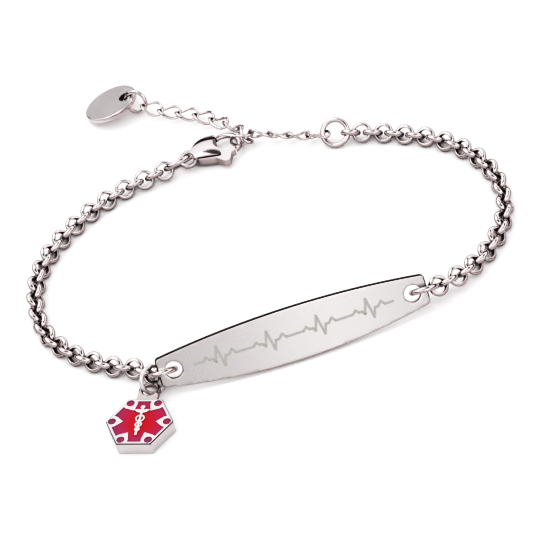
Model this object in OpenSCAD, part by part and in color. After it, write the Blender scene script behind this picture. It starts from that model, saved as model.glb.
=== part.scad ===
// Medical alert bracelet, fastened and lying on a table. Millimetres.
// X runs along the identity plate, the plate's side is -Y, the table is z = 0.

/* [Identity plate] */
// Length from end to end
plate_len = 39; // [32:0.5:46]
// Width at the middle
plate_w = 7.7; // [6:0.1:10]
// Width at each end
plate_end_w = 4.2; // [3.8:0.1:5.4]
// Thickness of the sheet
plate_t = 1; // [0.7:0.1:1.4]
// How far the middle stands out from the ends
plate_bow = 1.5; // [0.5:0.1:3]
// Lean of the face from the table, degrees
plate_lean = 62; // [50:1:75]
// Bore of the hole at each end
plate_hole_d = 2.4; // [2.2:0.1:2.8]
// From the end of the plate to the hole's centre
plate_hole_in = 2.2; // [1.8:0.1:2.8]

/* [Jump rings] */
// Outer diameter of the rings at the plate
plate_ring_d = 4.4; // [4.2:0.1:5]
// Wire of the rings at the plate
plate_ring_wire = 0.8; // [0.6:0.05:0.85]
// Outer diameter of the ring at the clasp's eye
clasp_ring_d = 4.8; // [4.4:0.1:5.4]
// Wire of the ring at the clasp's eye
clasp_ring_wire = 0.85; // [0.6:0.05:0.9]
// Outer diameter of the large ring that ends the right chain
extender_ring_d = 4.6; // [4.2:0.1:5.4]
// Wire of the large ring
extender_ring_wire = 0.8; // [0.6:0.05:0.9]
// Outer diameter of the charm's ring
charm_ring_d = 4.4; // [4.3:0.02:4.5]
// Wire of the charm's ring
charm_ring_wire = 0.56; // [0.48:0.02:0.6]
// Outer diameter of the tag's ring
tag_ring_d = 4; // [3.8:0.05:4.2]
// Wire of the tag's ring
tag_ring_wire = 0.6; // [0.45:0.05:0.65]

/* [Rolo chain] */
// Outer diameter of a link
rolo_d = 3.05; // [2.9:0.05:3.1]
// Thickness of a link's band, from bore to outside
rolo_t = 0.5; // [0.4:0.02:0.52]
// Width of a link's band
rolo_w = 0.84; // [0.7:0.02:0.88]
// Distance between neighbouring links
rolo_pitch = 1.65; // [1.6:0.01:1.7]

/* [Extender chain] */
// Length of a curb link outside
curb_len = 4.14; // [4.1:0.02:4.3]
// Width of a curb link outside
curb_w = 2.86; // [2.6:0.02:3]
// Wire of a curb link
curb_wire = 0.5; // [0.36:0.02:0.52]
// Twist of each end of a curb link, degrees
curb_twist = 42; // [36:1:48]

/* [Clasp] */
// Length of the clasp from eye to claw
clasp_len = 10; // [9.4:0.1:10.6]
// Width of the claw outside
clasp_w = 5.14; // [4.8:0.02:5.5]
// Thickness of the body at its middle
clasp_t = 2.4; // [2.1:0.1:2.8]
// Wire of the claw
claw_wire = 0.84; // [0.7:0.02:0.9]
// Outer diameter of the eye
eye_d = 3; // [2.8:0.05:3.1]
// Bore of the eye
eye_bore = 1.8; // [1.75:0.05:2]
// Thickness of the eye
eye_t = 0.8; // [0.7:0.05:0.9]
// Thickness of the lever
lever_t = 1.1; // [0.9:0.05:1.2]
// How far the thumb lug stands out below the claw
lug_out = 1.3; // [0.8:0.1:1.6]
// Diameter of the thumb lug's round tip
lug_d = 1.3; // [1:0.1:1.5]
// Diameter of the rivet
pin_d = 0.7; // [0.5:0.05:0.8]
// Running clearance of the lever on its rivet, on the radius
pin_fit = 0.04; // [0.02:0.01:0.08]
// Clearance at each side of the lever in its slot
slot_fit = 0.12; // [0.08:0.01:0.16]

/* [Charm] */
// Hexagon across the flats
charm_flats = 8.4; // [7.6:0.1:9.4]
// Thickness of the charm
charm_t = 2; // [1.6:0.1:2.4]
// Width of the rim round the enamel
rim_w = 0.42; // [0.3:0.02:0.6]
// Depth of the enamel beds
enamel_bed = 0.5; // [0.3:0.05:0.7]
// How far the enamel lies below the rim
enamel_low = 0.08; // [0.04:0.01:0.15]
// Gap round the enamel
enamel_fit = 0.02; // [0.01:0.005:0.04]
// Diameter of the corner dots
dot_d = 1.15; // [0.9:0.05:1.3]
// Height of the staff above the rim
staff_up = 0.1; // [0.05:0.01:0.2]
// Width of the staff's rod
staff_w = 0.34; // [0.26:0.02:0.44]
// Outer diameter of the charm's eye
bail_d = 3.1; // [3:0.05:3.2]
// Bore of the charm's eye
bail_bore = 2; // [1.9:0.05:2.2]
// Thickness of the charm's eye
bail_t = 0.8; // [0.6:0.05:0.9]
// From the charm's flat side to the eye's centre
bail_out = 2.2; // [1.9:0.1:2.6]

/* [Tag] */
// Diameter of the round tag
tag_d = 8.4; // [7.4:0.1:9.4]
// Thickness of the round tag
tag_t = 0.8; // [0.6:0.1:1.2]
// Bore of the tag's hole
tag_bore = 1.9; // [1.6:0.1:2.2]
// From the tag's edge to the hole's centre
tag_hole_in = 1.6; // [1.4:0.1:2]
// Tilt of the tag from the table, degrees
tag_tilt = 16; // [10:1:20]

/* [Hidden] */
$fn = 48;
// Moves the middle of the whole piece to x = 0, y = 0
shift_x = -1.1;
shift_y = -9.7;

// Route of the left chain after its first link, and of the right chain
left_route = [[-25.6, -11.2, 1.25], [-29.6, -7.1, 1.25],
    [-32.4, -2.2, 1.25], [-33.2, 3.2, 1.25], [-32.4, 9.0, 1.25], [-30.2, 13.9, 1.25],
    [-26.6, 18.0, 1.25], [-21.4, 21.8, 1.25], [-16.6, 24.0, 1.25], [-13.07, 24.75, 1.43]];
right_route = [[24.81, -15.9, 1.94], [27.4, -14.2, 1.5], [30.0, -12.0, 1.25],
    [32.8, -8.6, 1.25], [34.7, -4.5, 1.25], [35.4, 0.2, 1.25], [34.9, 5.0, 1.25],
    [33.0, 9.8, 1.25], [29.8, 14.0, 1.25], [25.6, 17.2, 1.25], [22.08, 19.32, 1.31]];

// Joints between the curb links, counted from the middle of the claw: the large ring to the clasp
run_joints = [[14.82, -5.33, 0.49], [11.9, -3.95, 0.3], [9.4, -2.7, 0.35],
    [6.8, -1.46, 0.6], [4.16, -0.25, 0.89]];
// Turn of each link of that run about its own length, degrees
run_turns = [37, 30, 42, 51.8];
// The link that the claw holds
held_joints = [[1.32, 0.05, 0.07], [4.16, -0.25, 0.83]];
held_turn = -60;
// Joints of the tail, from the held link to the tag's ring
tail_joints = [[3.55, -0.72, -0.04], [2.85, 2.05, 0.48], [1.2, 4.25, 0.3], [-0.45, 6.85, 0],
    [-2.5, 8.95, 0], [-4.9, 10.65, 0], [-7.3, 12.35, 0.1], [-9.5, 14.37, 0.39]];
tail_turns = [71.1, 38, 8, 0, 0, 0, -7];

// Plate
plate_centre = [0, -18.8, plate_w / 2 * sin(plate_lean) + plate_t / 2 * cos(plate_lean)];
plate_bend_r = (pow(plate_len / 2, 2) + pow(plate_bow, 2)) / (2 * plate_bow);
plate_narrow = (plate_w - plate_end_w) / 2;
plate_edge_r = (pow(plate_len / 2, 2) + pow(plate_narrow, 2)) / (2 * plate_narrow);
hole_x = plate_len / 2 - plate_hole_in;
hole_back = plate_bend_r - sqrt(pow(plate_bend_r, 2) - pow(hole_x, 2));
hole_y = plate_centre[1] + hole_back * sin(plate_lean);
hole_z = plate_centre[2] - hole_back * cos(plate_lean);

// Rings: each goes from one point of its wire to the opposite one
plate_ring_r = (plate_ring_d - plate_ring_wire) / 2;
left_ring_from = [-hole_x, hole_y - 0.03, hole_z + 0.03];
left_ring_dir = turn_dir(154.7, -20.2);
right_ring_from = [hole_x, hole_y, hole_z];
right_ring_dir = turn_dir(4.3, -5.6);
clasp_ring_r = (clasp_ring_d - clasp_ring_wire) / 2;
clasp_ring_dir = turn_dir(199, 5.8);
extender_ring_r = (extender_ring_d - extender_ring_wire) / 2;
charm_ring_r = (charm_ring_d - charm_ring_wire) / 2;
tag_ring_r = (tag_ring_d - tag_ring_wire) / 2;

// Rolo links
rolo_r = rolo_d / 2;
rolo_in = rolo_r - rolo_t;
rolo_back = (pow(rolo_t, 2) + pow(rolo_w / 2, 2)) / (2 * rolo_t);
rolo_low = (rolo_r - rolo_back) * sin(45) + rolo_back;

// Curb links
curb_a = (curb_len - curb_wire) / 2;
curb_b = (curb_w - curb_wire) / 2;

// Clasp, in its own frame: origin at the eye, X to the claw, Y to its back
clasp_at = [-5.3, 26.4, 1.2];
eye_r = eye_d / 2;
eye_up = 0.15;
eye_tilt = 20;
claw_r = (clasp_w - claw_wire) / 2;
claw_x = clasp_len - eye_r - clasp_w / 2;
claw_y = 0.75;
claw_in = claw_r - claw_wire / 2;
claw_at = clasp_at + [claw_x, claw_y, 0];
back_r = 4.75;
back_x = claw_x - 1.15;
back_y = -1.3;
step_x = claw_x - 1.1;
tip_x = claw_x + 1.35;
pin_x = 2.25;
pin_y = -0.1;
dome_r = 7;
lever_low = claw_y - clasp_w / 2 - 0.2;
lever_arc = 6.05;
lug_x = claw_x - 0.55;
lug_y = lever_low - lug_out + lug_d / 2;

// Charm, in its own frame: origin at the hexagon's centre, Y to its eye
charm_turn = -24.5;
charm_r = charm_flats / 2;
bail_y = charm_r + bail_out;
bail_z = charm_t * 0.625;
bail_at = left_ring_from + [-4.01, -0.76, bail_z - left_ring_from[2]];
charm_at = [bail_at[0], bail_at[1], 0] - bail_y * turn_dir(90 + charm_turn, 0);
charm_ring_low = bail_at + [-0.42, -0.09, 0.165];
corner_r = charm_r / cos(30);
bed_z = charm_t - enamel_bed;
dot_at = corner_r * 0.81;
wedge_in = corner_r * 0.48;

// Places of the rings' wires and of the end links that hang on them
clasp_ring_from = clasp_at + [0.24, 0.04, 0.4];
clasp_ring_far = clasp_ring_from + 2 * clasp_ring_r * clasp_ring_dir;
extender_ring_from = claw_at + [14.08, -4.85, 0.54];
extender_ring_dir = turn_dir(-21.7, 0.9);
extender_ring_far = extender_ring_from + 2 * extender_ring_r * extender_ring_dir;
left_start = left_ring_from + 2 * plate_ring_r * left_ring_dir + [0.03, 0.53, -0.32];
left_second = left_start + [-1.04, 1.45, -0.23];
left_third = left_start + [-1.99, 2.3, -0.11];
left_end = clasp_ring_far + [-0.47, 0.13, -0.44];
right_start = right_ring_from + 2 * plate_ring_r * right_ring_dir + [0.33, 0.25, -0.35];
right_end = extender_ring_far + [0.36, -0.19, -0.18];

// Tag, in its own frame: origin at the disc's centre, X to its hole
tag_rise = -43;
tag_hole_turn = 29;
tag_hole_r = tag_d / 2 - tag_hole_in;
tag_long = tag_hole_r * cos(tag_hole_turn) * cos(tag_tilt);
tag_side = tag_hole_r * sin(tag_hole_turn);
tag_at = [claw_at[0] - 11.6 - tag_long * cos(tag_rise) + tag_side * sin(tag_rise),
    claw_at[1] + 16.54 - tag_long * sin(tag_rise) - tag_side * cos(tag_rise),
    tag_d / 2 * sin(tag_tilt) + tag_t / 2 * cos(tag_tilt)];
tag_ring_from = claw_at + tail_joints[7] + [0.34, -0.27, 0.17];

// Unit vector at a heading and an elevation
function turn_dir(heading, rise) =
    [cos(heading) * cos(rise), sin(heading) * cos(rise), sin(rise)];
function heading_of(v) = atan2(v[1], v[0]);
function rise_of(v) = atan2(v[2], norm([v[0], v[1]]));

// A smooth curve through the points of a route, and its length so far at each sample
steps = 10;
function pick(p, i) = p[max(0, min(len(p) - 1, i))];
function curve_at(a, b, c, d, t) =
    0.5 * (2 * b + (c - a) * t + (2 * a - 5 * b + 4 * c - d) * t * t
    + (3 * b - a - 3 * c + d) * t * t * t);
function curve(p) = [for (i = [0 : len(p) - 2]) for (j = [0 : steps - 1])
    curve_at(pick(p, i - 1), p[i], p[i + 1], pick(p, i + 2), j / steps), p[len(p) - 1]];
function lengths(s) = [for (i = 0, a = 0; i < len(s);
    a = i + 1 < len(s) ? a + norm(s[i + 1] - s[i]) : a, i = i + 1) a];
function along(s, c, d) = [for (k = [0 : 2]) lookup(d, [for (i = [0 : len(s) - 1]) [c[i], s[i][k]]])];

// Puts children, drawn along X, at a point and along a direction, turned about it
module along_dir(p, v, turn = 0) {
    translate(p) rotate([0, -rise_of(v), heading_of(v)]) rotate([turn, 0, 0]) children();
}

// Moves the whole piece so that its middle is over the origin
module on_table() {
    translate([shift_x, shift_y, 0]) children();
}

module wire_ring(r, wire) {
    rotate_extrude() translate([r, 0]) circle(wire / 2);
}

// A jump ring whose wire passes through two opposite points
module ring_from(p, v, r, wire, turn) {
    along_dir(p, v, turn) translate([r, 0, 0]) wire_ring(r, wire);
}

module rolo_link() {
    rotate_extrude() intersection() {
        translate([rolo_r - rolo_back, 0]) circle(rolo_back);
        translate([rolo_in, -rolo_w / 2]) square([rolo_t, rolo_w]);
    }
}

// A chain along a route; an even or odd number of spaces sets how the last link stands
module rolo_chain(route, odd, first_turn) {
    s = curve(route);
    c = lengths(s);
    whole = c[len(c) - 1];
    n = 2 * round((whole / rolo_pitch - odd) / 2) + odd;
    for (i = [0 : n]) {
        d = whole * i / n;
        v = along(s, c, min(whole, d + 0.4)) - along(s, c, max(0, d - 0.4));
        along_dir(along(s, c, d), v, first_turn + 90 * (i % 2)) rolo_link();
    }
}

// One twisted link between two joints
curb_rings = 16;
curb_sides = 6;
function curb_mid(t) = let (w = curb_twist * cos(t))
    [curb_a * cos(t), curb_b * sin(t) * cos(w), curb_b * sin(t) * sin(w)];
function unit(v) = v / norm(v);
function curb_point(i, j) = let (t = 360 * i / curb_rings, q = 360 * j / curb_sides,
    v = unit(curb_mid(t + 2) - curb_mid(t - 2)),
    w = curb_twist * cos(t),
    side = unit(cross(v, [0, -sin(w), cos(w)])),
    up = cross(side, v))
    curb_mid(t) + curb_wire / 2 * (cos(q) * side + sin(q) * up);
module curb_link() {
    n = curb_rings;
    m = curb_sides;
    polyhedron(points = [for (i = [0 : n - 1]) for (j = [0 : m - 1]) curb_point(i, j)],
        faces = [for (i = [0 : n - 1]) for (j = [0 : m - 1]) for (k = [0, 1])
            let (a = i * m + j, b = i * m + (j + 1) % m,
                c = ((i + 1) % n) * m + (j + 1) % m, d = ((i + 1) % n) * m + j)
            k == 0 ? [a, b, c] : [a, c, d]]);
}
module curb_run(joints, turns) {
    for (i = [0 : len(turns) - 1])
        along_dir((joints[i] + joints[i + 1]) / 2, joints[i + 1] - joints[i], turns[i]) curb_link();
}

module id_plate() {
    color("silver") on_table() translate(plate_centre) rotate([plate_lean, 0, 0]) difference() {
        intersection() {
            translate([0, 0, -plate_bow - 2 * plate_t])
                linear_extrude(plate_bow + 4 * plate_t) plate_outline();
            translate([0, 0, -plate_bend_r]) rotate([90, 0, 0]) difference() {
                cylinder(r = plate_bend_r + plate_t / 2, h = 2 * plate_w, center = true, $fn = 720);
                cylinder(r = plate_bend_r - plate_t / 2, h = 3 * plate_w, center = true, $fn = 720);
            }
        }
        for (s = [-1, 1]) translate([s * hole_x, 0, -plate_bow - plate_t])
            cylinder(d = plate_hole_d, h = plate_bow + 3 * plate_t);
    }
}
module plate_outline() {
    intersection() {
        translate([0, plate_w / 2 - plate_edge_r]) circle(plate_edge_r, $fn = 720);
        translate([0, plate_edge_r - plate_w / 2]) circle(plate_edge_r, $fn = 720);
        square([plate_len, plate_w], center = true);
    }
}

module plate_ring_left() {
    color("silver") on_table()
        ring_from(left_ring_from, left_ring_dir, plate_ring_r, plate_ring_wire, 36.6);
}
module plate_ring_right() {
    color("silver") on_table()
        ring_from(right_ring_from, right_ring_dir, plate_ring_r, plate_ring_wire, -40.9);
}

module chain_left() {
    color("gainsboro") on_table()
        rolo_chain(concat([left_start, left_second, left_third], left_route, [left_end]), 1, -45);
}
module chain_right() {
    color("gainsboro") on_table() rolo_chain(concat([right_start], right_route, [right_end]), 0, 45);
}

module clasp_ring() {
    color("silver") on_table() ring_from(clasp_ring_from, clasp_ring_dir, clasp_ring_r, clasp_ring_wire, 43);
}

module extender_ring() {
    color("silver") on_table()
        ring_from(extender_ring_from, extender_ring_dir, extender_ring_r, extender_ring_wire, 45);
}

module extender_chain() {
    color("gainsboro") on_table() translate(claw_at) {
        curb_run(run_joints, run_turns);
        curb_run(held_joints, [held_turn]);
        curb_run(tail_joints, tail_turns);
    }
}

module at_clasp() {
    translate(clasp_at) children();
}
module clasp_cheek() {
    difference() {
        intersection() {
            translate([back_x, back_y]) circle(back_r);
            polygon([[0.5, -0.45], [1.1, -0.8], [step_x, -1.7], [step_x, 4], [0.5, 4]]);
        }
        translate([claw_x, claw_y]) circle(claw_in);
    }
}
module clasp_body() {
    color("silver") on_table() at_clasp() {
        difference() {
            union() {
                intersection() {
                    linear_extrude(clasp_t, center = true) clasp_cheek();
                    clasp_dome(1);
                    clasp_dome(-1);
                }
                translate([0, 0, eye_up]) rotate([eye_tilt, 0, 0]) rotate_extrude()
                    translate([eye_r, 0]) eye_section();
            }
            translate([0, 0, eye_up]) rotate([eye_tilt, 0, 0])
                cylinder(d = eye_bore, h = 3 * eye_t, center = true);
            translate([1.35, -3, -lever_t / 2 - slot_fit])
                cube([step_x, 3.75, lever_t + 2 * slot_fit]);
            translate([pin_x, pin_y, 0]) cylinder(d = pin_d + 0.04, h = 2 * clasp_t, center = true);
        }
        difference() {
            translate([claw_x, claw_y, 0]) rotate([0, 0, -75])
                rotate_extrude(angle = 195) translate([claw_r, 0]) circle(claw_wire / 2);
            translate([tip_x - 3, claw_y - 3.6, -1]) cube([3, 2.4, 2]);
        }
    }
}
module clasp_dome(side) {
    translate([3.2, 0.5, side * (clasp_t / 2 - dome_r)]) sphere(dome_r);
}
module eye_section() {
    w = (eye_d - eye_bore) / 2;
    if (eye_t > w) translate([-w / 2, 0]) square([w, eye_t - w], center = true);
    for (s = [-1, 1]) translate([-w / 2, s * (eye_t - w) / 2]) circle(w / 2);
}
module clasp_lever() {
    color("gainsboro") on_table() at_clasp() difference() {
        linear_extrude(lever_t, center = true) {
            intersection() {
                translate([claw_x - 1.35, lever_low + lever_arc]) circle(lever_arc, $fn = 96);
                translate([1.4, lever_low]) square([tip_x - 0.2 - 1.4, claw_y - claw_in - 0.04 - lever_low]);
            }
            intersection() {
                translate([pin_x, pin_y]) circle(0.72);
                square([10, 10], center = true);
            }
            translate([pin_x - 0.5, lever_low + 0.6]) square([1, pin_y - lever_low - 0.6]);
            translate([lug_x, lug_y]) circle(lug_d / 2);
            polygon([[lug_x - lug_d * 1.35, lever_low + 0.4], [lug_x - lug_d * 0.4, lug_y - lug_d * 0.3],
                [lug_x + lug_d * 0.46, lug_y - lug_d * 0.2], [lug_x + lug_d * 0.85, lever_low + 0.45]]);
        }
        translate([pin_x, pin_y, 0]) cylinder(d = pin_d + 2 * pin_fit, h = 2 * lever_t, center = true);
    }
}
module clasp_pin() {
    color("silver") on_table() at_clasp() intersection() {
        translate([pin_x, pin_y, 0]) cylinder(d = pin_d, h = clasp_t, center = true);
        clasp_dome(1);
        clasp_dome(-1);
    }
}

module at_charm() {
    translate(charm_at) rotate([0, 0, charm_turn]) children();
}
module hexagon(r) {
    polygon([for (i = [0 : 5]) r / cos(30) * [cos(60 * i), sin(60 * i)]]);
}
// The star's field: the hexagon inside the rim less a wedge at each corner
module star_field(g) {
    difference() {
        hexagon(charm_r - rim_w - g);
        for (i = [0 : 5]) rotate(60 * i) polygon([[wedge_in - 2 * g, 0],
            [corner_r * 0.68, 0.85 + g], [corner_r, 1.55 + g],
            [corner_r, -1.55 - g], [corner_r * 0.68, -0.85 - g]]);
    }
}
// The winged staff with two coils, grown by g on every side
module staff(g) {
    top = charm_r * 0.62;
    translate([-staff_w / 2 - g, -top - g]) square([staff_w + 2 * g, 2 * top + 2 * g]);
    translate([0, top]) circle(staff_w + g);
    for (s = [-1, 1]) polygon([[0, top * 0.58 - g], [s * (0.65 + g), top * 0.64 - g],
        [s * (1.15 + g), top * 0.82 + g], [s * (0.65 + g), top * 0.86 + g], [0, top * 0.82 + g]]);
    coil(top * 0.2, 0.68, g);
    coil(-top * 0.24, 0.54, g);
    coil(-top * 0.58, 0.4, g);
}
module coil(y, r, g) {
    translate([0, y]) difference() {
        circle(r + g);
        circle(r - 0.24 - g);
    }
}
module charm_body() {
    color("silver") on_table() at_charm() {
        difference() {
            union() {
                linear_extrude(charm_t) hexagon(charm_r);
                translate([0, bail_y, bail_z - bail_t / 2]) cylinder(d = bail_d, h = bail_t);
                translate([-bail_d / 2 + 0.1, charm_r - 0.5, bail_z - bail_t / 2])
                    cube([bail_d - 0.2, bail_out + 0.5, bail_t]);
            }
            translate([0, bail_y, -1]) cylinder(d = bail_bore, h = charm_t + 3);
            translate([0, 0, bed_z]) linear_extrude(charm_t) star_field(0);
            for (i = [0 : 5]) rotate(60 * i) translate([dot_at, 0, bed_z])
                cylinder(d = dot_d, h = charm_t, $fn = 24);
        }
        translate([0, 0, bed_z - 0.2]) linear_extrude(enamel_bed + 0.2 + staff_up) staff(0);
    }
}
module enamel_star() {
    color("crimson") on_table() at_charm() translate([0, 0, bed_z + enamel_fit])
        linear_extrude(enamel_bed - enamel_fit - enamel_low) difference() {
            star_field(enamel_fit);
            staff(enamel_fit);
        }
}
module enamel_dots() {
    color("crimson") on_table() at_charm() for (i = [0 : 5])
        rotate(60 * i) translate([dot_at, 0, bed_z + enamel_fit])
            cylinder(d = dot_d - 2 * enamel_fit, h = enamel_bed - enamel_fit - enamel_low, $fn = 24);
}

module charm_ring() {
    color("silver") on_table()
        ring_from(charm_ring_low, turn_dir(40.3, 21.4), charm_ring_r, charm_ring_wire, 61.2);
}

module at_tag() {
    translate(tag_at) rotate([0, 0, tag_rise]) rotate([0, -tag_tilt, 0]) rotate([0, 0, tag_hole_turn])
        children();
}
module tag_disc() {
    color("silver") on_table() at_tag() difference() {
        cylinder(d = tag_d, h = tag_t, center = true, $fn = 64);
        translate([tag_hole_r, 0, 0]) cylinder(d = tag_bore, h = 3 * tag_t, center = true);
    }
}
module tag_ring() {
    color("silver") on_table()
        ring_from(tag_ring_from, turn_dir(139.4, 10.2), tag_ring_r, tag_ring_wire, 108);
}

id_plate();
plate_ring_left();
plate_ring_right();
chain_left();
chain_right();
charm_ring();
charm_body();
enamel_star();
enamel_dots();
clasp_ring();
clasp_body();
clasp_lever();
clasp_pin();
extender_ring();
extender_chain();
tag_ring();
tag_disc();
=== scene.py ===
from math import cos, hypot, pi, radians, sin, sqrt

import bmesh
import bpy
from mathutils import Matrix, Vector
from mathutils.geometry import delaunay_2d_cdt


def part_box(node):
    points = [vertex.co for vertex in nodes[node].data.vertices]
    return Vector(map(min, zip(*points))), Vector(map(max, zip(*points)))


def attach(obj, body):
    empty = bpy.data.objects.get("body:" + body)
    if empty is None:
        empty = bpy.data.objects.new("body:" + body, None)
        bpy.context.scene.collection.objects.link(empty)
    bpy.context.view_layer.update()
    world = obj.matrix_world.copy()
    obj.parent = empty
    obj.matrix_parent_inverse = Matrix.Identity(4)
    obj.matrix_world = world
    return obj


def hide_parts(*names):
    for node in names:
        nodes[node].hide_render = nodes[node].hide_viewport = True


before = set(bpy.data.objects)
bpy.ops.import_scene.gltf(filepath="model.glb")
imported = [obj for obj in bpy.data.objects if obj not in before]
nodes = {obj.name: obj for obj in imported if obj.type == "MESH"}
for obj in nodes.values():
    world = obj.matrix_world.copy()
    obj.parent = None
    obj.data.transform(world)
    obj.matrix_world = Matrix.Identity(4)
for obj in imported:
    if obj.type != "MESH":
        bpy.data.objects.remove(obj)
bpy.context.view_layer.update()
MM = 0.001

# The photograph's view: where the camera stands, what it looks at and how far it leans
LOOK_AT = Vector((-1.1, -9.7, 0.0)) * MM
CAMERA_AT = LOOK_AT + Vector((-23.3, -333.6, 301.1)) * MM
CAMERA_LEAN = radians(15)
LENS = 212.8
SENSOR = 36.0
CLIP_NEAR, CLIP_FAR = 10 * MM, 10000 * MM


def set_camera():
    """The camera, with the photograph's lean."""
    ahead = (LOOK_AT - CAMERA_AT).normalized()
    level_right = ahead.cross(Vector((0, 0, 1))).normalized()
    level_up = level_right.cross(ahead)
    right = level_right * cos(CAMERA_LEAN) - level_up * sin(CAMERA_LEAN)
    up = level_right * sin(CAMERA_LEAN) + level_up * cos(CAMERA_LEAN)
    data = bpy.data.cameras.new("camera")
    data.lens, data.sensor_width = LENS, SENSOR
    data.clip_start, data.clip_end = CLIP_NEAR, CLIP_FAR
    camera = bpy.data.objects.new("camera", data)
    turn = Matrix((right, up, -ahead)).transposed().to_4x4()
    camera.matrix_world = Matrix.Translation(CAMERA_AT) @ turn
    bpy.context.collection.objects.link(camera)
    bpy.context.scene.camera = camera


set_camera()


def box_middle(name):
    """The middle of a node's box."""
    low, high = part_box(name)
    return (low + high) / 2


# The middle of the charm's face, and of the tag
CHARM_MIDDLE = Vector((-25.06, -34.07, 1.9)) * MM
TAG_MIDDLE = box_middle("tag_disc")

# The sockets of a mix of colours: its share, its two colours and what comes out
MIX_SHARE, MIX_FIRST, MIX_SECOND, MIX_OUT = 0, 6, 7, 2


def add_node(tree, kind, place=(0, 0), **settings):
    """A shader node with its settings and socket values."""
    node = tree.nodes.new(kind)
    node.location = place
    for name, value in settings.items():
        if name in node.bl_rna.properties:
            setattr(node, name, value)
        else:
            node.inputs[name.replace("_", " ")].default_value = value
    return node


def feed(tree, source, socket):
    """Give a socket what it takes: another socket's output, a colour or a number."""
    if isinstance(source, bpy.types.NodeSocket):
        tree.links.new(source, socket)
    elif isinstance(source, tuple):
        socket.default_value = (*source, 1)
    else:
        socket.default_value = source


def mixed(tree, place, share, first, second, blend_type="MIX"):
    """A colour between two others, by a share from 0 to 1."""
    node = add_node(tree, "ShaderNodeMix", place, data_type="RGBA", blend_type=blend_type)
    feed(tree, share, node.inputs[MIX_SHARE])
    feed(tree, first, node.inputs[MIX_FIRST])
    feed(tree, second, node.inputs[MIX_SECOND])
    return node.outputs[MIX_OUT]


def scaled(tree, place, value, factor, offset):
    """A value times a factor, plus an offset."""
    node = add_node(tree, "ShaderNodeMath", place, operation="MULTIPLY_ADD")
    for number, source in enumerate((value, factor, offset)):
        feed(tree, source, node.inputs[number])
    return node.outputs[0]


def share_between(tree, place, value, zero_at, one_at, interpolation="LINEAR"):
    """A share that grows from 0 to 1 as a value goes from one figure to another."""
    node = add_node(tree, "ShaderNodeMapRange", place, interpolation_type=interpolation,
                    From_Min=zero_at, From_Max=one_at)
    tree.links.new(value, node.inputs["Value"])
    return node.outputs["Result"]


def distance_from(tree, place, point, middle):
    """How far a point is from a fixed one."""
    node = add_node(tree, "ShaderNodeVectorMath", place, operation="DISTANCE")
    tree.links.new(point, node.inputs[0])
    node.inputs[1].default_value = middle
    return node.outputs["Value"]


def ramp(tree, place, value, stops):
    """A colour that goes from stop to stop with a value."""
    node = add_node(tree, "ShaderNodeValToRGB", place)
    elements = node.color_ramp.elements
    for position, colour in stops[1:-1]:
        elements.new(position)
    for element, (position, colour) in zip(elements, stops):
        element.position = position
        element.color = (*colour, 1)
    tree.links.new(value, node.inputs["Fac"])
    return node.outputs["Color"]


def new_material(name):
    """A material, its node tree and its shader."""
    material = bpy.data.materials.new(name)
    material.use_nodes = True
    tree = material.node_tree
    return material, tree, tree.nodes["Principled BSDF"]


def wear_group():
    """Fine polishing marks and clouding: a factor for the colour, a roughness and a height."""
    group = bpy.data.node_groups.new("metal_wear", "ShaderNodeTree")
    sockets = group.interface
    for name, value in (("Least Roughness", 0.1), ("Clouding", 0.05), ("Grain", 900.0)):
        socket = sockets.new_socket(name, in_out="INPUT", socket_type="NodeSocketFloat")
        socket.default_value = value
    for name in ("Cloud", "Roughness", "Height"):
        sockets.new_socket(name, in_out="OUTPUT", socket_type="NodeSocketFloat")
    inside = add_node(group, "NodeGroupInput", (-700, 0)).outputs
    outside = add_node(group, "NodeGroupOutput", (500, 0)).inputs
    place = add_node(group, "ShaderNodeTexCoord", (-700, -300)).outputs["Object"]
    cloud = add_node(group, "ShaderNodeTexNoise", (-450, 100), Scale=350.0, Detail=3.0)
    grain = add_node(group, "ShaderNodeTexNoise", (-450, -200), Detail=4.0)
    group.links.new(place, cloud.inputs["Vector"])
    group.links.new(place, grain.inputs["Vector"])
    group.links.new(inside["Grain"], grain.inputs["Scale"])
    rough = scaled(group, (-50, 50), cloud.outputs["Fac"], inside["Clouding"], inside["Least Roughness"])
    group.links.new(cloud.outputs["Fac"], outside["Cloud"])
    group.links.new(rough, outside["Roughness"])
    group.links.new(grain.outputs["Fac"], outside["Height"])
    return group


WEAR = wear_group()
GRAIN_DEPTH = 0.02 * MM

# Painted shade in crevices and between links: the colour is painted dark where less than the first share
# of the space round a point is open, and left as it is where the second share is
CREVICE_SHADE_COLOUR = (0.02, 0.012, 0.012)
CREVICE_SHADE_FULL, CREVICE_SHADE_NONE = 0.35, 0.86


def steel(name, light, dark, roughness, clouding, grain=1400.0, bump=0.0, reach=0.0, metal=1.0):
    """Stainless steel in two close tones, with a fine grain and, within a reach, painted shade in crevices.

    The grain is a number of marks to the metre, and the reach is in mm.
    """
    material, tree, shader = new_material(name)
    wear = add_node(tree, "ShaderNodeGroup", (-600, 0), node_tree=WEAR,
                    Least_Roughness=roughness, Clouding=clouding, Grain=grain)
    colour = mixed(tree, (-300, 150), wear.outputs["Cloud"], dark, light)
    # Painted shade: darker towards the crevice colour where little of the space round a point is open
    if reach:
        shade_probe = add_node(tree, "ShaderNodeAmbientOcclusion", (-600, 400), samples=16, Distance=reach * MM)
        openness = share_between(tree, (-400, 400), shade_probe.outputs["AO"], CREVICE_SHADE_FULL, CREVICE_SHADE_NONE,
                                 "SMOOTHSTEP")
        colour = mixed(tree, (-100, 250), openness, CREVICE_SHADE_COLOUR, colour)
    height = add_node(tree, "ShaderNodeBump", (-300, -200), Strength=bump, Distance=GRAIN_DEPTH)
    tree.links.new(wear.outputs["Height"], height.inputs["Height"])
    tree.links.new(colour, shader.inputs["Base Color"])
    tree.links.new(wear.outputs["Roughness"], shader.inputs["Roughness"])
    tree.links.new(height.outputs["Normal"], shader.inputs["Normal"])
    shader.inputs["Metallic"].default_value = metal
    return material


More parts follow.
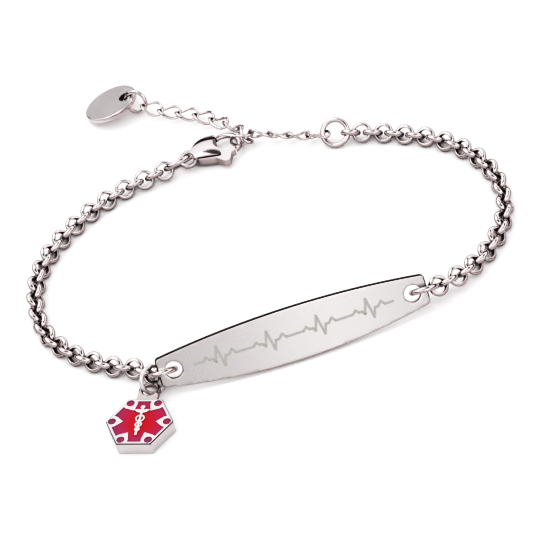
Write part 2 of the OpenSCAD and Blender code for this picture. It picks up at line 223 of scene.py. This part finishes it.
# The enamel's reds by distance from the charm's middle, as shares of a reach just past its edge, and
# how far a soft cloud moves that share up and down in all
ENAMEL_REACH = 4.6 * MM
ENAMEL_REDS = [(0.2, (0.4, 0.018, 0.038)), (0.62, (0.32, 0.04, 0.11)), (0.92, (0.21, 0.075, 0.145))]
ENAMEL_WAVER = 0.7


def enamel():
    """Red enamel, bright towards the middle of the charm and magenta out at its edges."""
    material, tree, shader = new_material("red_enamel")
    place = add_node(tree, "ShaderNodeTexCoord", (-1100, 0)).outputs["Object"]
    distance = distance_from(tree, (-900, 150), place, CHARM_MIDDLE)
    cloud = add_node(tree, "ShaderNodeTexNoise", (-900, -100), Scale=300.0, Detail=2.0, Distortion=0.5)
    tree.links.new(place, cloud.inputs["Vector"])
    waver = scaled(tree, (-750, -200), cloud.outputs["Fac"], ENAMEL_WAVER, -ENAMEL_WAVER / 2)
    blend = scaled(tree, (-650, 0), distance, 1 / ENAMEL_REACH, waver)
    tree.links.new(ramp(tree, (-450, 0), blend, ENAMEL_REDS), shader.inputs["Base Color"])
    shader.inputs["Roughness"].default_value = 0.22
    shader.inputs["Coat Weight"].default_value = 0.12
    shader.inputs["Specular IOR Level"].default_value = 0.12
    shader.inputs["Coat Roughness"].default_value = 0.04
    return material


def etched():
    """The dull grey of an etched line."""
    material, tree, shader = new_material("etched_grey")
    shader.inputs["Base Color"].default_value = (0.345, 0.35, 0.33, 1)
    shader.inputs["Roughness"].default_value = 0.7
    return material


# Steels given a reach get painted shade in their crevices and where parts meet
POLISHED = steel("polished_steel", (0.9, 0.86, 0.86), (0.82, 0.77, 0.77), roughness=0.015, clouding=0.04)
LINKED = steel("link_steel", (0.92, 0.875, 0.875), (0.8, 0.75, 0.75), roughness=0.02, clouding=0.04,
               reach=0.8)
# Near-black steel: a painted dark reflection on polished edges of the plate, the charm and the tag's hole
DARK_REFLECTION_STEEL = steel("painted_dark_reflection_steel", (0.06, 0.05, 0.047), (0.04, 0.033, 0.031), roughness=0.12, clouding=0.1)
SATIN = steel("satin_steel", (0.84, 0.825, 0.82), (0.8, 0.785, 0.78), roughness=0.24, clouding=0.06,
              grain=2600.0, bump=0.012)
CAST = steel("cast_steel", (0.84, 0.82, 0.825), (0.76, 0.735, 0.74), roughness=0.1, clouding=0.08,
             grain=1800.0, bump=0.03)
# A darker copy of the steel for the charm's eye: painted shade over the bright tent that its flat top
# mirrors
SHADED_EYE_STEEL = steel("eye_steel_painted_shade", (0.62, 0.575, 0.58), (0.54, 0.5, 0.505), roughness=0.03, clouding=0.06,
                  reach=0.8)
CLASP_STEEL = steel("clasp_steel", (0.88, 0.84, 0.845), (0.8, 0.755, 0.76), roughness=0.1, clouding=0.06,
                    reach=0.5)
TAG_SATIN = steel("tag_satin_steel", (0.9, 0.875, 0.875), (0.84, 0.81, 0.815), roughness=0.22,
                  clouding=0.06, grain=2600.0, metal=0.8)
RING_STEEL = steel("ring_steel", (0.97, 0.93, 0.93), (0.9, 0.86, 0.86), roughness=0.06, clouding=0.04,
                   metal=0.72)
ENAMEL = enamel()
ETCHED = etched()
FINISH = {
    "id_plate": SATIN, "plate_ring_left": POLISHED, "plate_ring_right": POLISHED,
    "chain_left": LINKED, "chain_right": LINKED, "charm_ring": RING_STEEL,
    "charm_body": CAST, "enamel_star": ENAMEL, "enamel_dots": ENAMEL,
    "clasp_ring": POLISHED, "clasp_body": CLASP_STEEL, "clasp_lever": CLASP_STEEL,
    "clasp_pin": CLASP_STEEL, "extender_ring": POLISHED, "extender_chain": LINKED,
    "tag_ring": POLISHED, "tag_disc": TAG_SATIN,
}
SLOTS = {
    "id_plate": "steel_satin", "tag_disc": "steel_satin",
    "enamel_star": "enamel", "enamel_dots": "enamel",
}

# Points of a solid this close are welded into one
WELD = 0.001 * MM


def finish_nodes():
    """Each solid gets its finish and smooth shading."""
    for name, solid in nodes.items():
        solid.data.materials.clear()
        solid.data.materials.append(FINISH[name])
        for face in solid.data.polygons:
            face.use_smooth = True
        weld = solid.modifiers.new("weld", "WELD")
        weld.merge_threshold = WELD
        SLOTS.get(name, "steel")


finish_nodes()


def add_piece(name, mesh, finishes, slot="steel", body="bracelet"):
    """A new piece with its finishes, riding on its body."""
    for finish in finishes:
        mesh.materials.append(finish)
    piece = bpy.data.objects.new(name, mesh)
    bpy.context.collection.objects.link(piece)
    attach(piece, body)
    return piece


# How a rounded copy is made: points this close are one, faces that turn less than this are one flat
# face, and shading breaks beside a broad flat face and at an edge that turns more than the last
JOIN = 0.0005 * MM
FLAT = radians(0.7)
BROAD = 0.5 * MM * MM
SHARP = radians(40)


def round_edges(shape, zones, corner):
    """Round the edges that turn by more than a corner's degrees, zone after zone."""
    done = []
    for inside, width in zones:
        cut = [edge for edge in shape.edges
               if len(edge.link_faces) == 2 and edge.calc_face_angle() > radians(corner)
               and all(inside(end.co) for end in edge.verts)
               and not any(all(earlier(end.co) for end in edge.verts) for earlier in done)]
        bmesh.ops.bevel(shape, geom=cut, offset=width * MM, offset_type="OFFSET", segments=3,
                        profile=0.5, affect="EDGES", clamp_overlap=True)
        done.append(inside)
    shape.normal_update()


def shade_edges(shape):
    """Smooth shading that breaks at sharp edges and round the broad flat faces."""
    broad = {face for face in shape.faces if face.calc_area() > BROAD}
    for edge in shape.edges:
        if len(edge.link_faces) == 2:
            beside_broad = any(face in broad for face in edge.link_faces)
            edge.smooth = edge.calc_face_angle() < SHARP and not beside_broad


def anywhere(point):
    """The zone that holds every point."""
    return True


def rounded_copy(name, rounding, corner=40, body="bracelet", zones=(), finishes=None, finish_of=None):
    """A solid again with whole flat faces, rounded cut edges and smooth curves.

    Each zone is a test of a point and the rounding of the edges there, cut before the others.
    """
    solid = nodes[name]
    finishes = finishes or [FINISH[name]]
    mesh = solid.data.copy()
    mesh.name = name + "_finish"
    mesh.materials.clear()
    shape = bmesh.new()
    shape.from_mesh(mesh)
    shape.transform(solid.matrix_world)
    bmesh.ops.remove_doubles(shape, verts=shape.verts, dist=JOIN)
    bmesh.ops.dissolve_limit(shape, angle_limit=FLAT, verts=shape.verts, edges=shape.edges)
    round_edges(shape, (*zones, (anywhere, rounding)), corner)
    for face in shape.faces:
        face.smooth = True
        face.material_index = finishes.index(finish_of(face)) if finish_of else 0
    shade_edges(shape)
    shape.to_mesh(mesh)
    shape.free()
    piece = add_piece(name + "_finish", mesh, finishes, SLOTS.get(name, "steel"), body)
    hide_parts(name)


# From the charm's middle, its eye lies past the first distance and its hexagon's outer wall past the
# second; the third is the height over the table that only the top of the wall reaches
EYE_FROM, WALL_FROM, TOP_FROM = 4.3 * MM, 4.1 * MM, 1.7 * MM
EYE_ROUNDING, WALL_ROUNDING = 0.25, 0.11

# A face is slanted where the upward part of its normal lies between the first two, and a point that
# is the third off a face is just outside it
SLANT_LEAST, SLANT_MOST = 0.05, 0.98
JUST_OFF = 0.05 * MM


def towards_eye():
    """The level direction from the charm's middle to its eye, which is its farthest point."""
    spokes = [vertex.co - CHARM_MIDDLE for vertex in nodes["charm_body"].data.vertices]
    farthest = max(spokes, key=lambda spoke: spoke.length)
    return Vector((farthest.x, farthest.y, 0)).normalized()


TO_EYE = towards_eye()
FLATS = [Matrix.Rotation(radians(60 * side), 3, "Z") @ TO_EYE for side in range(6)]


def on_eye(point):
    """On the charm's eye, past the flat side that carries it."""
    return (point - CHARM_MIDDLE).dot(TO_EYE) > EYE_FROM


def on_wall(point):
    """On the hexagon's outer wall: far from the middle towards one of its six flats."""
    return not on_eye(point) and max((point - CHARM_MIDDLE).dot(flat) for flat in FLATS) > WALL_FROM


def charm_finish(face):
    """Cast steel, with painted shade on the eye and a painted dark reflection on the top's slanted edge."""
    middle = face.calc_center_median()
    if on_eye(middle):
        return SHADED_EYE_STEEL
    # A painted dark reflection on the slanted edge round the top of the wall
    slanted = SLANT_LEAST < face.normal.z < SLANT_MOST
    just_outside = middle + face.normal * JUST_OFF
    dark = slanted and on_wall(just_outside) and middle.z > TOP_FROM
    return DARK_REFLECTION_STEEL if dark else CAST


# The way that the tag's largest face points, how close to it the normal of a flat side is, and how
# far the hole reaches from the tag's middle
TAG_UP = max(nodes["tag_disc"].data.polygons, key=lambda face: face.area).normal
TAG_FLAT = 0.99
TAG_HOLE_REACH = 3.85 * MM


def tag_finish(face):
    """Satin faces, a polished rim and a painted dark reflection on the edge in the hole."""
    if abs(face.normal.dot(TAG_UP)) > TAG_FLAT:
        return TAG_SATIN
    in_hole = (face.calc_center_median() - TAG_MIDDLE).length < TAG_HOLE_REACH
    return DARK_REFLECTION_STEEL if in_hole else POLISHED


rounded_copy("tag_disc", 0.14, finishes=[TAG_SATIN, POLISHED, DARK_REFLECTION_STEEL], finish_of=tag_finish)
rounded_copy("charm_body", 0.04, zones=[(on_eye, EYE_ROUNDING), (on_wall, WALL_ROUNDING)],
             finishes=[CAST, SHADED_EYE_STEEL, DARK_REFLECTION_STEEL], finish_of=charm_finish)
rounded_copy("enamel_star", 0.04)
rounded_copy("enamel_dots", 0.04)
rounded_copy("clasp_lever", 0.14, body="lever")
rounded_copy("extender_chain", 0.12, corner=50)

# The clasp's middle and its two domed cheeks, as in the part's source
CLASP_MIDDLE = Vector((-3.2, 17.2, 1.2)) * MM
DOME_R, DOME_SINK = 7.0 * MM, 5.8 * MM
DOME_MIDDLES = [CLASP_MIDDLE - Vector((0, 0, DOME_SINK * side)) for side in (1, -1)]
DOME_NEAR = 0.004 * MM


def domed_copy(name):
    """A domed piece of the clasp again, shaded with the dome's own curve."""
    solid = nodes[name]
    mesh = solid.data.copy()
    mesh.name = name + "_finish"
    mesh.materials.clear()
    mesh.transform(solid.matrix_world)
    normals = [corner.vector.copy() for corner in mesh.corner_normals]
    for face in mesh.polygons:
        for middle in DOME_MIDDLES:
            spokes = [mesh.vertices[number].co - middle for number in face.vertices]
            if all(abs(spoke.length - DOME_R) < DOME_NEAR for spoke in spokes):
                for corner, spoke in zip(face.loop_indices, spokes):
                    normals[corner] = spoke.normalized()
    mesh.normals_split_custom_set(normals)
    piece = add_piece(name + "_finish", mesh, [FINISH[name]])
    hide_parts(name)


domed_copy("clasp_body")
domed_copy("clasp_pin")

# The plate's sizes and place, as in the part's source
PLATE_LEN, PLATE_W, PLATE_END, PLATE_T, PLATE_BOW = 39.0, 7.7, 4.2, 1.0, 1.5
PLATE_HOLE_R, PLATE_HOLE_X = 1.2, 17.3
PLATE_LEAN = radians(62)
PLATE_BEND_R = ((PLATE_LEN / 2) ** 2 + PLATE_BOW ** 2) / (2 * PLATE_BOW)
PLATE_NARROW = (PLATE_W - PLATE_END) / 2
PLATE_EDGE_R = ((PLATE_LEN / 2) ** 2 + PLATE_NARROW ** 2) / (2 * PLATE_NARROW)
PLATE_MIDDLE = Vector((-1.1, -28.5, PLATE_W / 2 * sin(PLATE_LEAN) + PLATE_T / 2 * cos(PLATE_LEAN)))

# How its copy is meshed: the rounding of its corners and rims, the tiles of its faces and how far
# they keep from the rims, the share of a hole's rim past which a face begins, how close two points
# are one, and the steps of each outline
PLATE_CORNER, PLATE_RIM = 0.5, 0.16
TILE, TILE_CLEAR = 0.31, 0.12
RIM_SHARE, PLATE_JOIN = 0.9, 0.0002 * MM
ARC_STEPS, END_STEPS, HOLE_STEPS, RIM_STEPS = 150, 10, 48, 4

# How the tiles' points become triangles: over the whole outline, with points this close as one
WHOLE_OUTLINE, SAME_POINT = 0, 1e-6


def on_plate(along, across, out):
    """A point of the bent plate: along its length, across its width and out of its front face."""
    back = sqrt((PLATE_BEND_R + PLATE_T / 2 + out) ** 2 - along ** 2) - PLATE_BEND_R
    y = across * cos(PLATE_LEAN) - back * sin(PLATE_LEAN)
    z = across * sin(PLATE_LEAN) + back * cos(PLATE_LEAN)
    return (PLATE_MIDDLE + Vector((along, y, z))) * MM


def half_width(along):
    """Half the plate's width at a place along it."""
    return PLATE_W / 2 - PLATE_EDGE_R + sqrt(PLATE_EDGE_R ** 2 - along ** 2)


def from_hole(along, across):
    """How far a place on the plate is from the middle of the nearer hole."""
    return hypot(abs(along) - PLATE_HOLE_X, across)


def plate_edge(inset):
    """The plate's outline, drawn in by an inset: upper arc, left end, lower arc and right end."""
    reach, corner = PLATE_LEN / 2 - inset, PLATE_CORNER - inset
    arc = []
    for i in range(ARC_STEPS + 1):
        x = reach * cos(pi * i / ARC_STEPS)
        into_corner = max(0, abs(x) - (reach - corner))
        drop = corner - sqrt(max(0, corner ** 2 - into_corner ** 2))
        arc.append((x, half_width(x) - inset - drop))
    end = [(-reach, arc[-1][1] * (1 - 2 * i / END_STEPS)) for i in range(1, END_STEPS)]
    return arc + end + [(-x, -y) for x, y in arc + end]


def hole_edge(side, inset):
    """The edge of the left (-1) or right (1) hole, opened by an inset."""
    turns = [2 * pi * i / HOLE_STEPS for i in range(HOLE_STEPS)]
    radius = PLATE_HOLE_R + inset
    return [(side * PLATE_HOLE_X + radius * cos(turn), radius * sin(turn)) for turn in turns]


def left_hole(inset):
    """The edge of the left hole."""
    return hole_edge(-1, inset)


def right_hole(inset):
    """The edge of the right hole."""
    return hole_edge(1, inset)


def face_tiles(loops):
    """The plate's flat face inside its rims: its points and the triangles between them."""
    points, borders = [], []
    for loop in loops:
        ring = loop(PLATE_RIM)
        first, count = len(points), len(ring)
        borders += [(first + i, first + (i + 1) % count) for i in range(count)]
        points += ring
    clear = PLATE_RIM + TILE_CLEAR
    columns, rows = int(PLATE_LEN / 2 / TILE), int(PLATE_W / 2 / TILE)
    for i in range(-columns, columns + 1):
        for j in range(-rows, rows + 1):
            x, y = i * TILE, j * TILE
            in_outline = abs(x) < PLATE_LEN / 2 - clear and abs(y) < half_width(x) - clear
            if in_outline and from_hole(x, y) > PLATE_HOLE_R + clear:
                points.append((x, y))
    places = [Vector(point) for point in points]
    result = delaunay_2d_cdt(places, borders, [], WHOLE_OUTLINE, SAME_POINT)
    points, triangles = result[0], result[2]
    outside_holes = []
    for triangle in triangles:
        middle = sum((points[number] for number in triangle), Vector((0, 0))) / 3
        if from_hole(*middle) > PLATE_HOLE_R + PLATE_RIM * RIM_SHARE:
            outside_holes.append(triangle)
    return points, outside_holes


def rim_profile():
    """The section of a rim from the front face to the back: how far in and how far out."""
    turns = [pi / 2 * i / RIM_STEPS for i in range(RIM_STEPS + 1)]
    front = [(PLATE_RIM * (1 - sin(turn)), -PLATE_RIM * (1 - cos(turn))) for turn in turns]
    return front + [(inset, -PLATE_T - out) for inset, out in reversed(front)]


def outline_finish(row, place):
    """A painted dark reflection on the plate's ends and upper edge, and polished steel elsewhere."""
    side, step = divmod(place, ARC_STEPS + END_STEPS)
    on_end = step > ARC_STEPS
    on_upper_edge = side == 0 and not on_end and row > 0
    on_back = row == len(rim_profile()) - 2
    return DARK_REFLECTION_STEEL if (on_end or on_upper_edge) and not on_back else POLISHED


def polished_plate():
    """The plate again, finely meshed: satin faces, a rounded polished rim and rounded holes."""
    finishes = [SATIN, POLISHED, DARK_REFLECTION_STEEL]
    loops = [plate_edge, left_hole, right_hole]
    flat, tiles = face_tiles(loops)
    points, faces = [], []
    for out, turn in ((0, 1), (-PLATE_T, -1)):
        faces += [[len(points) + number for number in tile[::turn]] for tile in tiles]
        points += [on_plate(x, y, out) for x, y in flat]
    face_finish = [SATIN] * len(faces)
    for loop in loops:
        rings = []
        for inset, out in rim_profile():
            ring = [on_plate(x, y, out) for x, y in loop(inset)]
            rings.append(len(points))
            points += ring
        count = len(ring)
        for row, (low, high) in enumerate(zip(rings, rings[1:])):
            for i in range(count):
                after = (i + 1) % count
                faces.append((low + i, high + i, high + after, low + after))
                # The plate's outline gets a painted dark reflection on its ends and upper edge
                face_finish.append(outline_finish(row, i) if loop is plate_edge else POLISHED)
    mesh = bpy.data.meshes.new("plate_finish")
    mesh.from_pydata(points, [], faces)
    for face, finish in zip(mesh.polygons, face_finish):
        face.use_smooth = True
        face.material_index = finishes.index(finish)
    shape = bmesh.new()
    shape.from_mesh(mesh)
    bmesh.ops.remove_doubles(shape, verts=shape.verts, dist=PLATE_JOIN)
    bmesh.ops.recalc_face_normals(shape, faces=shape.faces)
    shape.to_mesh(mesh)
    shape.free()
    plate = add_piece("plate_finish", mesh, finishes, "steel_satin")
    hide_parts("id_plate")


polished_plate()

# One beat of the etched trace, along and across the plate; the trace is four of them, in strokes of
# one width that are cut into short boxes to follow the plate's bend
BEAT = [(0, 0), (1.3, 0), (1.75, 0.45), (2.2, 0), (2.6, 0), (2.95, -0.5), (3.5, 1.6),
        (4.1, -1.3), (4.5, 0), (5.0, 0), (5.5, 0.6), (6.0, 0)]
BEAT_LEN, BEATS = 7.2, 4
STROKE_W, STROKE_PROUD, STROKE_SUNK = 0.38, 0.02, 0.02
STROKE_BOX, STROKE_LAP = 0.6, 0.3 * STROKE_W
BOX_FACES = ((0, 1, 3, 2), (4, 6, 7, 5), (0, 2, 6, 4), (1, 5, 7, 3), (0, 4, 5, 1), (2, 3, 7, 6))


def stroke_boxes(start, end):
    """The corners of one straight stroke's boxes: four proud of the plate and four in it."""
    length = hypot(end[0] - start[0], end[1] - start[1])
    dx, dy = (end[0] - start[0]) / length, (end[1] - start[1]) / length
    count = max(1, round(length / STROKE_BOX))
    stops = [length * i / count for i in range(count + 1)]
    stops[0] -= STROKE_LAP
    stops[-1] += STROKE_LAP
    for near, far in zip(stops, stops[1:]):
        corners = []
        for way in (near, far):
            x, y = start[0] + dx * way, start[1] + dy * way
            for half in (STROKE_W / 2, -STROKE_W / 2):
                corners.append((x - dy * half, y + dx * half))
        yield [on_plate(x, y, out) for out in (STROKE_PROUD, -STROKE_SUNK) for x, y in corners]


def etched_trace():
    """A pulse trace etched along the middle of the plate."""
    first = -BEATS / 2
    line = [(BEAT_LEN * (first + count) + x, y) for count in range(BEATS) for x, y in BEAT]
    line.append((BEAT_LEN * BEATS / 2, 0))
    points, faces = [], []
    for start, end in zip(line, line[1:]):
        for corners in stroke_boxes(start, end):
            faces += [[len(points) + number for number in face] for face in BOX_FACES]
            points += corners
    mesh = bpy.data.meshes.new("etched_trace")
    mesh.from_pydata(points, [], faces)
    add_piece("etched_trace", mesh, [ETCHED], "steel_satin")


etched_trace()

# The table is seen darker in the steel's mirror than it is, but for a brighter patch round the
# charm and the tag, which fades out between two distances from their middles
TABLE_SIZE, TABLE_GAP = 4000 * MM, 0.02 * MM
TABLE_WHITE = (0.93, 0.925, 0.925)
MIRRORED_TABLE, MIRRORED_PATCH = (0.38, 0.355, 0.355), (0.62, 0.6, 0.6)
PATCH_FULL, PATCH_END = 6.2 * MM, 8.5 * MM


def add_floor():
    """The pale table."""
    bpy.ops.mesh.primitive_plane_add(size=TABLE_SIZE, location=(0, 0, -TABLE_GAP))
    floor = bpy.context.object
    floor.name = "floor"
    table, tree, shader = new_material("pale_table")
    rays = add_node(tree, "ShaderNodeLightPath", (-500, 0))
    place = add_node(tree, "ShaderNodeTexCoord", (-1300, 200)).outputs["Object"]
    nearest = add_node(tree, "ShaderNodeMath", (-900, 200), operation="MINIMUM")
    for number, middle in enumerate((CHARM_MIDDLE, TAG_MIDDLE)):
        distance = distance_from(tree, (-1100, 200 - 200 * number), place, middle)
        tree.links.new(distance, nearest.inputs[number])
    in_patch = share_between(tree, (-700, 200), nearest.outputs[0], PATCH_END, PATCH_FULL)
    mirrored = mixed(tree, (-500, 200), in_patch, MIRRORED_TABLE, MIRRORED_PATCH)
    tone = mixed(tree, (-250, 0), rays.outputs["Is Glossy Ray"], TABLE_WHITE, mirrored)
    tree.links.new(tone, shader.inputs["Base Color"])
    shader.inputs["Roughness"].default_value = 0.8
    floor.data.materials.append(table)


add_floor()

# The studio tent that the steel mirrors: its shades by height, from level (0) to straight up (1).
# The roof has a dark ring round a softer middle, and the front is lit further down than the sides
ROOF = [(0.78, 0.82), (0.84, 0.08), (0.94, 0.08), (0.98, 0.5), (1.0, 0.5)]
SIDE_SHADES = [(0.0, 0.01), (0.26, 0.015), (0.32, 0.62), (0.6, 0.74)] + ROOF
FRONT_SHADES = [(0.0, 0.05), (0.05, 0.05), (0.1, 0.54), (0.3, 0.66), (0.44, 0.7), (0.6, 0.76)] + ROOF
TENT_WARMTH = 0.965

# The front's window, by place from left (0) to right (1) between two directions across, and the
# two directions ahead between which the sides give way to the front
WINDOW_SHADES = [(0.0, 0.74), (0.15, 0.74), (0.34, 0.88), (0.48, 1.42), (0.64, 1.36), (0.76, 1.0),
                 (1.0, 0.92)]
WINDOW_LEFT, WINDOW_RIGHT = -0.4, 0.6
FRONT_STARTS, FRONT_WHOLE = -0.6, -0.78

# The even light that the tent gives to all but mirrors, its strength, and the one lamp in it
EVEN_WHITE = (0.98, 0.965, 0.97)
TENT_STRENGTH = 1.4
LAMP_AT = Vector((-200, 150, 620)) * MM
LAMP_SIZE = (500 * MM, 400 * MM)
LAMP_POWER = 0.9


def greys(shades, warmth=1.0):
    """Stops of grey, warmed a little where the warmth is under 1."""
    return [(position, (shade, shade * warmth, shade * warmth)) for position, shade in shades]


def set_tent():
    """Soft studio light: a bright tent with dark gaps that the steel mirrors."""
    world = bpy.data.worlds.new("tent")
    bpy.context.scene.world = world
    world.use_nodes = True
    tree = world.node_tree
    back = tree.nodes["Background"]
    place = add_node(tree, "ShaderNodeTexCoord", (-1300, 0))
    split = add_node(tree, "ShaderNodeSeparateXYZ", (-1100, 0))
    tree.links.new(place.outputs["Generated"], split.inputs[0])
    sides = ramp(tree, (-700, 300), split.outputs["Z"], greys(SIDE_SHADES, TENT_WARMTH))
    front = ramp(tree, (-700, 0), split.outputs["Z"], greys(FRONT_SHADES, TENT_WARMTH))
    across = share_between(tree, (-950, -150), split.outputs["X"], WINDOW_LEFT, WINDOW_RIGHT)
    window = ramp(tree, (-700, -150), across, greys(WINDOW_SHADES))
    lit_front = mixed(tree, (-500, -50), 1.0, front, window, "MULTIPLY")
    ahead = share_between(tree, (-700, -300), split.outputs["Y"], FRONT_STARTS, FRONT_WHOLE)
    tent = mixed(tree, (-350, 150), ahead, sides, lit_front)
    rays = add_node(tree, "ShaderNodeLightPath", (-100, 350))
    light = mixed(tree, (150, 100), rays.outputs["Is Diffuse Ray"], tent, EVEN_WHITE)
    tree.links.new(light, back.inputs["Color"])
    back.inputs["Strength"].default_value = TENT_STRENGTH


def add_lamp():
    """A soft lamp above, behind and to the left, for the faint shadows on the table."""
    data = bpy.data.lights.new("key", "AREA")
    data.shape, data.energy = "RECTANGLE", LAMP_POWER
    data.size, data.size_y = LAMP_SIZE
    lamp = bpy.data.objects.new("key", data)
    lamp.location = LAMP_AT
    lamp.rotation_euler = (LOOK_AT - LAMP_AT).to_track_quat("-Z", "Y").to_euler()
    bpy.context.collection.objects.link(lamp)


set_tent()
add_lamp()

# The photograph's contrast as given and shown brightness: deeper darks, brighter middle and lights
CONTRAST = [(0.13, 0.045), (0.29, 0.205), (0.45, 0.49), (0.61, 0.69), (0.8, 0.86)]
ALL_COLOURS = 3


def set_contrast():
    """The photograph's contrast, as a curve in the view settings."""
    view = bpy.context.scene.view_settings
    view.view_transform = "Standard"
    view.use_curve_mapping = True
    curve = view.curve_mapping.curves[ALL_COLOURS]
    for given, shown in CONTRAST:
        curve.points.new(given, shown)
    view.curve_mapping.update()


set_contrast()
